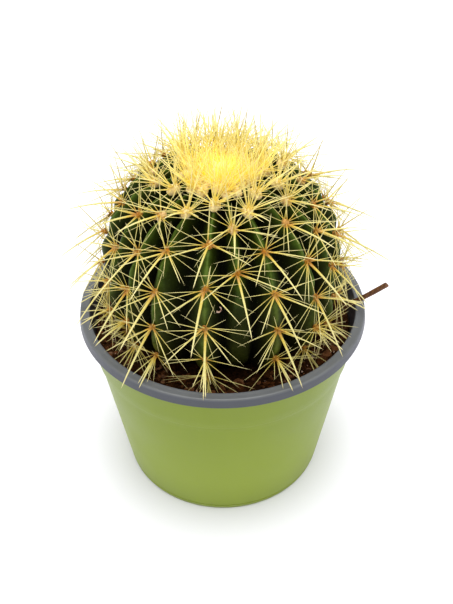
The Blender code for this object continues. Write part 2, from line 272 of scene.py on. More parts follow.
def alongSpine():
    # 0 at a spine's foot, 1 at its tip
    layout = newNode("UVMap")
    return newNode("SeparateXYZ", {"Vector": layout.outputs["UV"]}).outputs["Y"]


def makeGreenPlastic():
    # satin moulded plastic with faint upright flow marks and pale rubs, with painted light from the floor
    # making it lighter towards the bottom
    made, shader = startMaterial("greenPlastic", 0.42, 0.32)
    flow = noiseAt(90, 3, 0.6, (1, 1, 0.12))
    cloud = noiseAt(22, 4, 0.55)
    grain = noiseAt(2600, 2, 0.6)
    rubs = noiseAt(260, 6, 0.75, (1, 1, 2.2), 0.4)
    colour = ramp(cloud, [(0.3, (0.176, 0.24, 0.003)), (0.72, (0.198, 0.266, 0.006))])
    # painted light: the wall turns a lighter green towards the bottom, standing in for light bounced up from
    # the floor
    colour = tint(colour, heightOf(), 0.078, 0.024, 0.85, (0.262, 0.338, 0.026))
    colour = tint(colour, flow, 0.35, 0.75, 0.22, (0.236, 0.308, 0.016))
    colour = tint(colour, rubs, 0.66, 0.74, 0.2, (0.36, 0.42, 0.12))
    feed(shader, {"Base Color": colour, "Roughness": span(cloud, 0.3, 0.7, 0.36, 0.48)})
    fine = bumpFrom(shader, grain, 0.25, 0.0002)
    bumpFrom(shader, flow, 0.1, 0.0006, fine)
    return made


def makeGreyPlastic():
    # matt grey plastic, scuffed on the rim, with painted shade on the lip's side that darkens everything below
    # the rim top, inside too, and soil dust low down inside
    made, shader = startMaterial("greyPlastic", 0.45)
    cloud = noiseAt(40, 4, 0.6)
    scuff = noiseAt(330, 7, 0.8, (1, 1, 3), 0.8)
    grain = noiseAt(2400, 2, 0.6)
    colour = ramp(cloud, [(0.3, (0.108, 0.115, 0.119)), (0.7, (0.13, 0.137, 0.142))])
    colour = tint(colour, scuff, 0.64, 0.74, 0.4, (0.26, 0.26, 0.25))
    height = heightOf()
    # painted shade: everything below the rim top turns a dark bluish grey, the lip's side and the inside wall
    # alike
    colour = tint(colour, height, rimTop - 0.0003, rimTop - 0.0012, 0.95, (0.052, 0.057, 0.07))
    low = span(height, rimTop - 0.006, rimTop - 0.012)
    dust = times(low, span(noiseAt(150, 5, 0.7), 0.35, 0.65))
    colour = mixColours(dust, colour, (0.06, 0.042, 0.03))
    feed(shader, {"Base Color": colour, "Roughness": span(scuff, 0.4, 0.7, 0.38, 0.58)})
    fine = bumpFrom(shader, grain, 0.25, 0.0002)
    bumpFrom(shader, scuff, 0.12, 0.0003, fine)
    return made


def makeStemSkin():
    # waxy green skin with a painted highlight along the crests and painted shade in the valleys, olive and
    # corky towards the soil
    made, shader = startMaterial("stemSkin", 0.42, 0.05)
    valley = attribute("valley")
    age = attribute("age")
    mottle = noiseAt(160, 5, 0.6)
    blotch = noiseAt(45, 3, 0.6)
    speckle = noiseAt(1500, 3, 0.6)
    across = times(valley, span(mottle, 0.3, 0.7, -0.1, 0.1), "ADD")
    # painted highlight and shade: lightest green on the crests, near black down in the valleys
    young = ramp(across, [
        (0.0, (0.096, 0.15, 0.024)), (0.1, (0.042, 0.072, 0.007)),
        (0.32, (0.015, 0.024, 0.001)), (0.65, (0.0045, 0.0062, 0.0002)),
        (1.0, (0.0015, 0.0018, 0.0001)),
    ])
    old = ramp(across, [
        (0.0, (0.066, 0.06, 0.006)), (0.18, (0.034, 0.032, 0.002)),
        (0.5, (0.012, 0.011, 0.0004)), (1.0, (0.002, 0.0018, 0.0001)),
    ])
    oldness = span(times(age, span(blotch, 0.3, 0.7, -0.1, 0.1), "ADD"), 0.42, 0.76)
    colour = mixColours(oldness, young, old)
    cork = times(span(age, 0.74, 0.9), span(blotch, 0.42, 0.6))
    colour = mixColours(times(cork, 0.6), colour, (0.09, 0.062, 0.03))
    colour = tint(colour, speckle, 0.62, 0.72, 0.2, (0.085, 0.12, 0.04))
    gloss = span(mottle, 0.3, 0.7, 0.34, 0.5)
    gloss = times(gloss, span(valley, 0.25, 0.6, 0.0, 0.45), "ADD")
    feed(shader, {"Base Color": colour, "Roughness": gloss})
    fine = bumpFrom(shader, speckle, 0.25, 0.0003)
    bumpFrom(shader, mottle, 0.25, 0.001, fine)
    return made


def makeSpineStraw():
    # amber foot, straw body and a slightly brown tip; "tone" runs from 0 on old spines to 1
    # at the growing point; every spine gets a faint painted glow, strongest at the growing point, standing in
    # for light shining through it
    made, shader = startMaterial("spineStraw", 0.42, 0.3)
    along = alongSpine()
    tone = attribute("tone")
    streak = noiseAt(900, 3, 0.6)
    old = ramp(along, [
        (0.0, (0.22, 0.07, 0.003)), (0.09, (0.46, 0.2, 0.008)),
        (0.2, (0.61, 0.46, 0.06)), (0.45, (0.64, 0.57, 0.185)),
        (0.93, (0.7, 0.63, 0.3)), (1.0, (0.6, 0.45, 0.2)),
    ])
    pale = ramp(along, [
        (0.0, (0.66, 0.38, 0.06)), (0.12, (0.88, 0.7, 0.15)),
        (0.5, (0.92, 0.8, 0.29)), (1.0, (0.9, 0.8, 0.42)),
    ])
    young = ramp(along, [
        (0.0, (0.98, 0.62, 0.03)), (0.15, (1.0, 0.8, 0.06)),
        (0.5, (1.0, 0.88, 0.11)), (0.9, (0.99, 0.89, 0.38)),
        (1.0, (0.9, 0.76, 0.4)),
    ])
    colour = mixColours(span(tone, 0.0, 0.5), old, pale)
    colour = mixColours(span(tone, 0.62, 0.95), colour, young)
    colour = tint(colour, streak, 0.45, 0.75, 0.25, (0.86, 0.8, 0.48))
    # painted light: an emission glow on every spine, strongest on young spines and towards the tips
    paintedGlow = ramp(tone, [
        (0.0, (0.9, 0.68, 0.06)), (0.5, (1.0, 0.8, 0.14)), (1.0, (1.0, 0.84, 0.06)),
    ])
    paintedGlowStrength = times(span(tone, 0.35, 1.0, 0.03, 0.19), span(along, 0.2, 1.0, 1.0, 1.5))
    feed(shader, {"Emission Color": paintedGlow, "Emission Strength": paintedGlowStrength,
                  "Base Color": colour, "Roughness": span(streak, 0.3, 0.7, 0.36, 0.52)})
    bumpFrom(shader, streak, 0.2, 0.0002)
    return made


def makeFelt():
    # short matted wool: brown-orange on old pads, cream and a little pink on young ones
    made, shader = startMaterial("padFelt", 0.9)
    shader.inputs["Sheen Weight"].default_value = 0.05
    tone = attribute("tone")
    fibre = noiseAt(1400, 4, 0.7)
    clump = noiseAt(420, 3, 0.6)
    old = ramp(clump, [
        (0.3, (0.26, 0.08, 0.002)), (0.55, (0.52, 0.2, 0.006)), (0.75, (0.68, 0.34, 0.03)),
    ])
    young = ramp(clump, [
        (0.3, (0.86, 0.58, 0.14)), (0.55, (0.95, 0.76, 0.34)), (0.75, (0.97, 0.85, 0.56)),
    ])
    colour = mixColours(tone, old, young)
    fluff = times(span(fibre, 0.45, 0.75, 0.08, 0.5), tone)
    colour = mixColours(fluff, colour, (0.95, 0.85, 0.62))
    feed(shader, {"Base Color": colour})
    bumpFrom(shader, fibre, 0.7, 0.0006)
    return made


def makeSoilMaterial():
    made, shader = startMaterial("soilEarth", 0.92, 0.08)
    clump = noiseAt(320, 6, 0.7)
    patch = noiseAt(70, 3, 0.5)
    grains = noiseAt(1700, 3, 0.7)
    colour = ramp(clump, [
        (0.28, (0.007, 0.0025, 0.0004)), (0.5, (0.034, 0.011, 0.0018)),
        (0.66, (0.085, 0.03, 0.007)), (0.8, (0.16, 0.068, 0.022)),
    ])
    colour = tint(colour, patch, 0.4, 0.7, 0.5, (0.018, 0.008, 0.004))
    colour = tint(colour, grains, 0.7, 0.76, 0.6, (0.22, 0.13, 0.08))
    feed(shader, {"Base Color": colour})
    fine = bumpFrom(shader, grains, 0.6, 0.0004)
    bumpFrom(shader, clump, 0.8, 0.0015, fine)
    return made


def makeCrumbMaterial():
    # each crumb has its own "tone", from black peat to reddish fibre
    made, shader = startMaterial("soilCrumb", 0.85, 0.08)
    grains = noiseAt(1500, 4, 0.7)
    colour = ramp(attribute("tone"), [
        (0.0, (0.01, 0.0035, 0.0006)), (0.4, (0.044, 0.014, 0.0026)),
        (0.7, (0.115, 0.038, 0.01)), (1.0, (0.23, 0.095, 0.038)),
    ])
    colour = tint(colour, grains, 0.4, 0.7, 0.45, (0.012, 0.004, 0.001))
    feed(shader, {"Base Color": colour})
    bumpFrom(shader, grains, 0.7, 0.0005)
    return made


def makeBarkMaterial():
    # dark reddish bark with fibres along it
    made, shader = startMaterial("barkFibre", 0.7)
    fibre = noiseAt(1300, 5, 0.7, (0.35, 0.8, 0.4))
    patch = noiseAt(240, 4, 0.6)
    colour = ramp(fibre, [
        (0.25, (0.04, 0.014, 0.004)), (0.5, (0.14, 0.054, 0.016)),
        (0.7, (0.26, 0.12, 0.044)),
    ])
    colour = tint(colour, patch, 0.5, 0.75, 0.45, (0.03, 0.012, 0.006))
    feed(shader, {"Base Color": colour})
    bumpFrom(shader, fibre, 0.6, 0.0005)
    return made


def makeGritMaterial():
    made, shader = startMaterial("paleGrit", 0.5)
    patch = noiseAt(600, 4, 0.6)
    colour = ramp(patch, [
        (0.3, (0.3, 0.15, 0.1)), (0.5, (0.55, 0.36, 0.27)), (0.72, (0.78, 0.62, 0.5)),
    ])
    feed(shader, {"Base Color": colour})
    bumpFrom(shader, patch, 0.5, 0.0004)
    return made


def makeRootMaterial():
    made, shader = startMaterial("rootSkin", 0.8)
    fibre = noiseAt(700, 5, 0.7, (1, 1, 0.2))
    colour = ramp(fibre, [(0.3, (0.2, 0.12, 0.06)), (0.7, (0.5, 0.38, 0.24))])
    feed(shader, {"Base Color": colour})
    bumpFrom(shader, fibre, 0.6, 0.0006)
    return made


greenPlastic = makeGreenPlastic()
greyPlastic = makeGreyPlastic()
stemSkin = makeStemSkin()
spineStraw = makeSpineStraw()
padFelt = makeFelt()
soilEarth = makeSoilMaterial()
soilCrumb = makeCrumbMaterial()
barkFibre = makeBarkMaterial()
paleGrit = makeGritMaterial()
rootSkin = makeRootMaterial()
print("materials made")


viewLook = {
    "lens": 50.66,
    "place": (0.0, -0.3524, 0.3868),
    "pitchDown": 38.85,
    "yawRight": 0.34,
    "roll": -0.29,
    "worldStrength": 0.62,
    "sunStrength": 3.3,
    "sunAngle": 52,
    "sunTurn": (1.5, 0, 0),
    "floorSide": 6.0,
}


def makeView():
    pitch = radians(viewLook["pitchDown"])
    yaw = radians(viewLook["yawRight"])
    roll = radians(viewLook["roll"])
    ahead = Vector((sin(yaw) * cos(pitch), cos(yaw) * cos(pitch), -sin(pitch)))
    right = ahead.cross(Vector((0, 0, 1))).normalized()
    up = right.cross(ahead)
    turned = Matrix((
        right * cos(roll) + up * sin(roll),
        up * cos(roll) - right * sin(roll),
        -ahead,
    )).transposed()
    clearSelection()
    bpy.ops.object.camera_add(location=viewLook["place"])
    camera = bpy.context.active_object
    camera.rotation_euler = turned.to_euler()
    camera.data.lens = viewLook["lens"]
    camera.data.clip_start = 0.01
    scene.camera = camera


def makeStudio():
    floor = startShape(bpy.ops.mesh.primitive_plane_add, "studioFloor", size=viewLook["floorSide"])
    paint, shader = startMaterial("studioPaint", 0.7, 0.1)
    wash = noiseAt(3, 2, 0.5)
    white = ramp(wash, [(0.3, (0.9, 0.896, 0.95)), (0.7, (0.91, 0.906, 0.96))])
    feed(shader, {"Base Color": white})
    floor.data.materials.append(paint)
    world = bpy.data.worlds.new("softRoom")
    scene.world = world
    world.use_nodes = True
    backdrop = world.node_tree.nodes["Background"]
    feed(backdrop, {"Color": (1, 1, 1), "Strength": viewLook["worldStrength"]})
    bpy.ops.object.light_add(type="SUN", location=(0, 0, 1))
    sun = bpy.context.active_object
    sun.name = "softSun"
    sun.data.energy = viewLook["sunStrength"]
    sun.data.angle = radians(viewLook["sunAngle"])
    sun.rotation_euler = [radians(turn) for turn in viewLook["sunTurn"]]


makeView()
makeStudio()
print("camera, floor and light placed")


potLook = {
    "segments": 192,
    "wall": 0.0011,
    "floorRings": (0.003, 0.02, 0.04),
    "lowMark": 0.0012,  # the height where the base's radius is read
    "baseRound": 0.0014,
    "footLine": 0.0034,
    "footLineDepth": 0.0006,
    "ringHeight": 0.0785,
    "ringStep": 0.0007,
    "edgeRound": 0.0004,
    "lipDrop": 0.005,
    "lipRound": 0.001,
    "lipThick": 0.0012,
    "innerRound": 0.0007,
    "rimSag": 0.00015,
    "drainHoles": 6,
    "drainRadius": 0.004,
    "drainCircle": 0.036,
}


def makeShell():
    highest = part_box("pot_shell")[1]
    top = highest.z
    lowMark = potLook["lowMark"]
    baseRadius = nodeRadius("pot_shell", lowMark)
    slope = (highest.x - potLook["ringStep"] - baseRadius) / (top - lowMark)
    wall = potLook["wall"]

    def outside(height):
        return baseRadius + slope * (height - lowMark)

    bend = potLook["baseRound"]
    line, depth = potLook["footLine"], potLook["footLineDepth"]
    ring, step, edge = potLook["ringHeight"], potLook["ringStep"], potLook["edgeRound"]
    profile = [(radius, 0.0) for radius in (*potLook["floorRings"], outside(0) - bend * 1.6)]
    profile += [
        (outside(0) - bend * (1 - sin(turn)), bend * (1 - cos(turn)))
        for turn in (radians(degrees) for degrees in (15, 35, 55, 75))
    ]
    profile += [
        (outside(line - edge), line - edge),
        (outside(line) - depth, line),
        (outside(line + edge), line + edge),
        (outside(line + edge * 3), line + edge * 3),
    ]
    profile += [(outside(height), height) for height in (0.01, 0.022, 0.036, 0.05, 0.064, ring - 0.004)]
    profile += [
        (outside(ring - edge), ring - edge),
        (outside(ring) + step * 0.15, ring),
        (outside(ring + edge) + step * 0.85, ring + edge),
        (outside(ring + edge * 2) + step, ring + edge * 2),
        (outside(ring + 0.006) + step, ring + 0.006),
        (outside(ring + 0.014) + step, ring + 0.014),
        (outside(top) + step, top),
        (outside(top) - wall, top),
        (outside(0.05) - wall, 0.05),
        (outside(wall) - wall, wall),
    ]
    profile += [(radius, wall) for radius in reversed(potLook["floorRings"])]
    shell = turnProfile("potWall", profile, potLook["segments"])
    cutDrains(shell)
    smoothBy(shell, 40)
    finishPiece(shell, greenPlastic, "green_plastic", "pot_shell")


def cutDrains(piece):
    cutters = []
    for i in range(potLook["drainHoles"]):
        angle = tau * (i + 0.5) / potLook["drainHoles"]
        spot = (potLook["drainCircle"] * cos(angle), potLook["drainCircle"] * sin(angle), 0)
        cutters.append(startShape(bpy.ops.mesh.primitive_cylinder_add, "drainCutter", spot,
                                  vertices=32, radius=potLook["drainRadius"], depth=0.012))
    cutter = joinAll(cutters, "drainCutter")
    fixPlace(cutter)
    pickOnly(piece)
    hollow = piece.modifiers.new("drains", "BOOLEAN")
    hollow.operation = "DIFFERENCE"
    hollow.object = cutter
    bpy.ops.object.modifier_apply(modifier=hollow.name)
    removeAll([cutter])


def makeLiner():
    lowest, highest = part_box("pot_liner")
    floor = lowest.z
    lipFoot = rimTop - potLook["lipDrop"]
    lipOut = highest.x
    rimMark = rimTop - 0.0006
    rimOut = nodeRadius("pot_liner", rimMark)
    wallOutLow = nodeRadius("pot_liner", floor)
    wall, plate = potLook["wall"], potLook["lipThick"]

    def outer(height):
        return wallOutLow + linerSlope * (height - floor)

    rolled, inRolled = potLook["lipRound"], potLook["innerRound"]
    flare = (lipOut - rimOut) / (rimMark - lipFoot)

    def lipFace(height):
        return lipOut - flare * (height - lipFoot)

    under = rimTop - plate
    inner = outer(rimTop) - wall
    floorRings = (*potLook["floorRings"][:2], 0.044)
    profile = [(radius, floor) for radius in (*floorRings, outer(floor))]
    profile += [(outer(height), height) for height in (0.02, 0.05, 0.08, under - 0.001, under)]
    profile += [
        (lipFace(under) - plate, under),
        (lipFace(lipFoot) - plate, lipFoot + 0.0002),
        (lipFace(lipFoot) - 0.001, lipFoot),
        (lipFace(lipFoot) - 0.0003, lipFoot),
        (lipFace(lipFoot), lipFoot + 0.0003),
        (lipFace(lipFoot + 0.0025), lipFoot + 0.0025),
    ]
    for degrees in (0, 20, 40, 60, 80, 90):
        turn = radians(degrees)
        height = rimTop - rolled * (1 - sin(turn))
        profile.append((lipFace(rimTop - rolled) - rolled * (1 - cos(turn)), height))
    profile += [
        (lipFace(rimTop - rolled) - rolled - 0.001, rimTop - potLook["rimSag"]),
        (inner + 0.0014, rimTop - potLook["rimSag"]),
    ]
    for degrees in (90, 65, 40, 15):
        turn = radians(degrees)
        profile.append((inner + inRolled * (1 - cos(turn)), rimTop - inRolled * (1 - sin(turn))))
    profile += [(outer(height) - wall, height) for height in (0.1, 0.096, 0.09, 0.06, 0.03, floor + wall)]
    profile += [(radius, floor + wall) for radius in reversed(floorRings)]
    liner = turnProfile("potInner", profile, potLook["segments"])
    cutDrains(liner)
    smoothBy(liner, 40)
    finishPiece(liner, greyPlastic, "grey_plastic", "pot_liner")


makeShell()
makeLiner()
print("pot made")


plantLook = {
    "centre": (0.0, -0.0027, 0.1255),
    "lean": 5.6,
    "radius": 0.06,
    "top": 0.0616,
    "bottom": 0.042,
    "cut": 0.0398,
    "shoulder": 2.53,
    "ribDepth": 0.01,
    "ribAngles": (
        -87, -65.5, -49, -32.5, -8, 8, 24.5, 47, 63, 78,
        96, 114, 131, 149, 166.5, 184, 202, 220, 237.5, 255,
    ),
    "columnsPerRib": 16,
    "rings": 120,
    "crestRound": 0.3,
    "bump": 0.0008,
    "padSpacing": 0.0195,
    "padShift": 0.007,
    "padFirst": 0.031,
    "padNearest": 0.013,
    "padAboveSoil": 0.007,
    "bareRib": 5,
    "bareRibPads": 3,
    "bareSink": 0.45,
}
plantFrame = Matrix.Translation(plantLook["centre"]) @ Matrix.Rotation(radians(plantLook["lean"]), 4, "X")
straightDown = plantFrame.inverted().to_3x3() @ Vector((0, 0, -1))
ribCount = len(plantLook["ribAngles"])
slopeStep = 0.0005  # half the stretch over which a crest's direction is taken


def toWorld(points):
    return points @ np.array(plantFrame.to_3x3()).T + np.array(plantFrame.translation)


def crestPoint(turn):
    side, up = sin(turn), cos(turn)
    if up >= 0:
        power = 2 / plantLook["shoulder"]
        return plantLook["radius"] * side**power, plantLook["top"] * up**power
    return plantLook["radius"] * side, plantLook["bottom"] * up


def makeCrestPath(steps=600):
    # (distance from the growing point, radius, height) along a rib's crest
    lastTurn = pi - asin(sqrt(1 - (plantLook["cut"] / plantLook["bottom"]) ** 2))
    path = [(0.0, 0.0, plantLook["top"])]
    for i in range(1, steps + 1):
        radius, height = crestPoint(lastTurn * (i / steps) ** 1.5)
        gone = path[-1][0] + hypot(radius - path[-1][1], height - path[-1][2])
        path.append((gone, radius, height))
    return np.array(path)


crestPath = makeCrestPath()
crestLength = crestPath[-1, 0]


def onCrest(distance):
    radius = float(np.interp(distance, crestPath[:, 0], crestPath[:, 1]))
    height = float(np.interp(distance, crestPath[:, 0], crestPath[:, 2]))
    return radius, height


def aroundAxis(angle, radius, height):
    # angle 0 faces -Y and grows towards +X
    return Vector((radius * sin(angle), -radius * cos(angle), height))


def ribDepthAt(distance):
    fromTop = min(1, max(0, (distance - 0.006) / 0.03))
    fromFoot = max(0, min(1, (crestLength - distance) / 0.02))
    return plantLook["ribDepth"] * sin(fromTop * pi / 2) * (0.35 + 0.65 * fromFoot)


def padDistances(rib):
    start = (plantLook["padFirst"] - plantLook["padShift"] * rib) % plantLook["padSpacing"]
    found = []
    for i in range(12):
        distance = start + plantLook["padSpacing"] * i
        if distance < plantLook["padNearest"]:
            continue
        radius, height = onCrest(distance)
        if rib == plantLook["bareRib"] and len(found) == plantLook["bareRibPads"]:
            break
        if (plantFrame @ Vector((0, -radius, height))).z < soilLevel + plantLook["padAboveSoil"]:
            break
        found.append(distance)
    return found


def crestFrame(rib, distance):
    # point, outward, towards the growing point, sideways
    angle = radians(plantLook["ribAngles"][rib])
    above = aroundAxis(angle, *onCrest(max(0, distance - slopeStep)))
    below = aroundAxis(angle, *onCrest(distance + slopeStep))
    side = Vector((cos(angle), sin(angle), 0))
    up = (above - below).normalized()
    out = side.cross(up).normalized()
    if out.dot(aroundAxis(angle, 1, 0) + Vector((0, 0, 0.5))) < 0:
        out = -out
    return aroundAxis(angle, *onCrest(distance)), out, up, side


def makeStem():
    look = plantLook
    columns = ribCount * look["columnsPerRib"]
    rings = look["rings"]
    stem = startShape(bpy.ops.mesh.primitive_uv_sphere_add, "cactusStem",
                      segments=columns, ring_count=rings, radius=1)
    points = getPoints(stem.data)
    valleys = np.zeros(len(points))
    ages = np.zeros(len(points))
    padsOf = [padDistances(rib) for rib in range(ribCount)]
    underRings = 8
    last = rings - underRings
    blunt = look["crestRound"]
    facts = []
    for ringNumber in range(rings + 1):
        distance = crestLength * min(1, ringNumber / last)
        nearRadius, nearHeight = onCrest(max(0, distance - slopeStep))
        farRadius, farHeight = onCrest(min(crestLength, distance + slopeStep))
        slope = Vector((farRadius - nearRadius, farHeight - nearHeight)).normalized()
        facts.append((distance, *onCrest(distance), slope.y, -slope.x, ribDepthAt(distance)))
    for index, (x, y, z) in enumerate(points):
        ringNumber = round(acos(max(-1, min(1, z))) / pi * rings)
        column = round(atan2(x, -y) / tau * columns) % columns
        rib, part = divmod(column, look["columnsPerRib"])
        share = part / look["columnsPerRib"]
        start = look["ribAngles"][rib]
        end = look["ribAngles"][(rib + 1) % ribCount]
        if end < start:
            end += 360
        angle = radians(start + (end - start) * share)
        valley = 1 - abs(1 - 2 * share)
        distance, radius, height, inwardRadius, inwardHeight, fullDepth = facts[ringNumber]
        fall = (hypot(valley, blunt) - blunt) / (hypot(1, blunt) - blunt)
        depth = fullDepth * fall
        # the crest swells a little between pads and dips at each one; the bare rib sinks below its last one and
        # is given the painted shade of a valley
        owner = rib if share < 0.5 else (rib + 1) % ribCount
        swell = 0
        for pad in padsOf[owner]:
            apart = (distance - pad) / look["padSpacing"]
            if abs(apart) < 0.5:
                swell = -cos(apart * tau) * look["bump"]
        swell *= max(0, 1 - valley * 2.2) * min(1, distance / 0.03)
        if owner == look["bareRib"]:
            gone = max(0, min(1, (distance - padsOf[owner][-1] - 0.006) / 0.022))
            depth = max(depth, fullDepth * look["bareSink"] * gone * gone * (3 - 2 * gone))
            # painted shade: the sunken bare rib is darkened like a valley
            valley = max(valley, 0.45 * gone)
        radius += inwardRadius * (depth - swell)
        height += inwardHeight * (depth - swell)
        lumps = noise.noise(Vector((x * 7, y * 7, z * 9))) * 0.0005 * min(1, distance / 0.02)
        radius = max(0, radius + lumps)
        if ringNumber > last:
            radius *= (rings - ringNumber) / underRings
        elif ringNumber == 0:
            radius = 0
        points[index] = plantFrame @ aroundAxis(angle, radius, height)
        valleys[index] = valley * min(1, distance / 0.02)
        ages[index] = distance / crestLength
    setPoints(stem.data, points)
    addPointValue(stem.data, "valley", valleys)
    addPointValue(stem.data, "age", ages)
    stem.data.shade_smooth()
    finishPiece(stem, stemSkin, "stem_skin", "stem")
    return stem


stemPiece = makeStem()
print("stem made,", len(stemPiece.data.vertices), "points")


spineLook = {
    "centralLength": 0.028,
    "centralWidth": 0.00142,
    "sideCentralLength": 0.0235,
    "sideCentralWidth": 0.00086,
    "radialLength": 0.0225,
    "radialWidth": 0.00038,
    "youngLength": 0.02,
    "youngWidth": 0.00056,
    "flatness": 0.62,
    "wallReach": 0.0668,
    "rimClearance": 0.001,
    "soilClearance": 0.001,
    "rimReach": 0.0766,
    "soilReach": 0.08,
    "lowFoot": 0.132,
    "lowReach": 0.0722,
    "reach": 0.0905,
    "footLift": 0.0006,
    "footAside": 0.0007,
    "footUp": 0.001,
    "fanTurns": (-154, -124, -104, -88, -72, -44, -14, 20, 48, 74, 88, 104, 122, 156),
    "fanMissing": 0.16,
}


twigLine = {
    "foot": (0.0576, -0.0022, 0.0953),
    "tip": (0.0823, -0.015, 0.1255),
    "clearance": 0.0095,
}


def makeSpineMaster(name, sides, cuts, belly, ridged=False):
    # a unit spine along +Z: a cone cut across, swollen at its foot and drawn out to its tip
    master = startShape(bpy.ops.mesh.primitive_cone_add, name, (0, 0, 0.5),
                        vertices=sides, radius1=1, radius2=0, depth=1)
    cutAcross(master, cuts)
    points = getPoints(master.data)
    for index, (x, y, z) in enumerate(points):
        if z > 0.999:
            continue
        wide = (1 - z) ** belly * (1 + 0.45 * exp(-z * 26))
        around = atan2(y, x)
        if ridged and round(around / tau * sides) % 2:
            wide *= 0.8
        points[index] = (cos(around) * wide, sin(around) * wide, z)
    setPoints(master.data, points)
    layer = master.data.uv_layers.active or master.data.uv_layers.new()
    for loop in master.data.loops:
        x, y, z = points[loop.vertex_index]
        layer.data[loop.index].uv = (0.5 + atan2(y, x) / tau, z)
    master.data.shade_smooth()
    return master


centralMaster = makeSpineMaster("centralMaster", 10, (0.07, 0.2, 0.4, 0.6, 0.8, 0.93), 0.45, True)
radialMaster = makeSpineMaster("radialMaster", 6, (0.1, 0.35, 0.65, 0.88), 0.5)
youngMaster = makeSpineMaster("youngMaster", 6, (0.1, 0.35, 0.65, 0.88), 0.55)


def bentPoints(master, foot, aim, out, length, width, bend, flat):
    # the master's points laid along a curve that starts along aim and leaves it by bend at the tip
    unit = getPoints(master.data)
    aim = aim.normalized()
    across = aim.cross(out)
    if across.length < 0.05:
        across = aim.cross(Vector((0.3, 0.2, 1)))
    across.normalize()
    thick = aim.cross(across).normalized()
    along = unit[:, 2:3]
    points = np.array(foot) + np.array(aim) * along * length
    points += np.array(bend) * along**2
    points += np.array(across) * unit[:, 0:1] * (width / 2)
    points += np.array(thick) * unit[:, 1:2] * (width / 2 * flat)
    return points


def copyShape(master, points, tone):
    mesh = master.data.copy()
    setPoints(mesh, points)
    addPointValue(mesh, "tone", tone)
    made = bpy.data.objects.new(master.name, mesh)
    bpy.context.collection.objects.link(made)
    return made


def spotsAlong(foot, aim, length, bend, shares):
    return [plantFrame @ (foot + aim * (length * share) + bend * share**2) for share in shares]


def isClear(*spine):
    # true when the spine keeps off the soil and either stays inside the wall or passes over the rim
    look = spineLook
    low = (plantFrame @ spine[0]).z < look["lowFoot"]
    furthest = look["lowReach"] if low else look["reach"]
    for spot in spotsAlong(*spine, (0.3, 0.5, 0.65, 0.8, 0.9, 1.0)):
        reach = hypot(spot.x, spot.y)
        if spot.z < soilLevel + look["soilClearance"] and reach < look["soilReach"]:
            return False
        if reach > furthest:
            return False
        wall = look["wallReach"] + linerSlope * (spot.z - soilLevel)
        if wall < reach < look["rimReach"] and spot.z < rimTop + look["rimClearance"]:
            return False
    return True


def nearTwig(*spine):
    start, run = Vector(twigLine["foot"]), Vector(twigLine["tip"]) - Vector(twigLine["foot"])
    for spot in spotsAlong(*spine, (0.2, 0.4, 0.6, 0.8, 1.0)):
        along = max(0, min(1, (spot - start).dot(run) / run.length_squared))
        if (spot - start - run * along).length < twigLine["clearance"]:
            return True
    return False


def laySpine(made, rng, master, frameHere, turn, lift, length, width, sag, tone, flat=1.0):
    # turn goes round the pad from the growing point, lift is above the skin, sag pulls the tip down;
    # a spine that would touch something is raised, shortened and turned up until it's clear
    point, out, up, side = frameHere
    aside, upward = spineLook["footAside"], spineLook["footUp"]
    foot = point + out * spineLook["footLift"]
    foot += side * rng.uniform(-aside, aside) + up * rng.uniform(-upward, upward)
    for attempt in range(9):
        flatAim = up * cos(turn) + side * sin(turn)
        aim = (flatAim * cos(lift) + out * sin(lift)).normalized()
        bend = straightDown * (sag * length)
        if isClear(foot, aim, length, bend):
            break
        lift += radians(5)
        length *= 0.95
        turn *= 0.96
    if nearTwig(foot, aim, length, bend):
        return
    points = bentPoints(master, foot, aim, out, length, width, bend, flat)
    made.append(copyShape(master, toWorld(points), tone))


def growPad(made, rng, rib, distance):
    here = crestFrame(rib, distance)
    youth = max(0.0, min(1.0, (0.04 - distance) / 0.026))
    age = min(1.0, distance / 0.06)
    tone = max(0.0, min(0.7, youth * 0.75 + rng.uniform(-0.06, 0.1)))
    upright = youth * 34
    look = spineLook

    def vary(value, share=0.12):
        return value * rng.uniform(1 - share, 1 + share)

    def near(degrees, less, more):
        return radians(degrees + rng.uniform(-less, more))

    # the strong downward spine, its two side spines and the upper one
    laySpine(made, rng, centralMaster, here, near(180, 13, 13), near(43 + upright, 6, 6),
             vary(look["centralLength"] * (0.82 + 0.18 * age), 0.1),
             vary(look["centralWidth"] * (0.75 + 0.25 * age)), 0.17, tone, look["flatness"])
    for way, turn, spread, lift, sag in ((-1, 122, 10, 32 + upright, 0.05), (1, 122, 10, 32 + upright, 0.05),
                                         (1, 0, 16, 50 + upright * 0.7, 0.03)):
        laySpine(made, rng, centralMaster, here, way * near(turn, spread, spread), near(lift, 7, 7),
                 vary(look["sideCentralLength"]), vary(look["sideCentralWidth"]), sag, tone, 0.7)
    # the thin fan, fullest to the sides
    for turn in look["fanTurns"]:
        if rng.random() < look["fanMissing"]:
            continue
        length = look["radialLength"] * (1 if 55 < abs(turn) < 125 else 0.66)
        laySpine(made, rng, radialMaster, here, near(turn, 5, 5), near(14 + upright, 8, 9),
                 vary(length, 0.2), vary(look["radialWidth"], 0.18), 0.02, tone)
    if youth > 0.15:
        for i in range(round(6 + 9 * youth)):
            laySpine(made, rng, youngMaster, here, rng.uniform(0, tau), radians(rng.uniform(34, 86)),
                     vary(look["youngLength"], 0.3), vary(look["youngWidth"], 0.2), -0.01, min(1, tone + 0.1))


def makeSpines():
    rng = random.Random(11)
    for rib in range(ribCount):
        made = []
        for distance in padDistances(rib):
            growPad(made, rng, rib, distance)
        row = joinAll(made, f"ribSpines{rib + 1:02d}")
        finishPiece(row, spineStraw, "spines", f"spine_row_{rib + 1:02d}")


makeSpines()
print("rib spines made")


crownLook = {
    "innerPads": (0.55, 0.341),
    "spinesPerPad": 13,
    "middleSpines": 190,
    "length": 0.0185,
    "innerLength": 0.0125,
    "middleLength": 0.007,
    "middleForward": 0.0022,
    "frontTone": 0.16,
    "width": 0.0005,
    "woolRadius": 0.0112,
    "woolHeight": 0.0032,
}


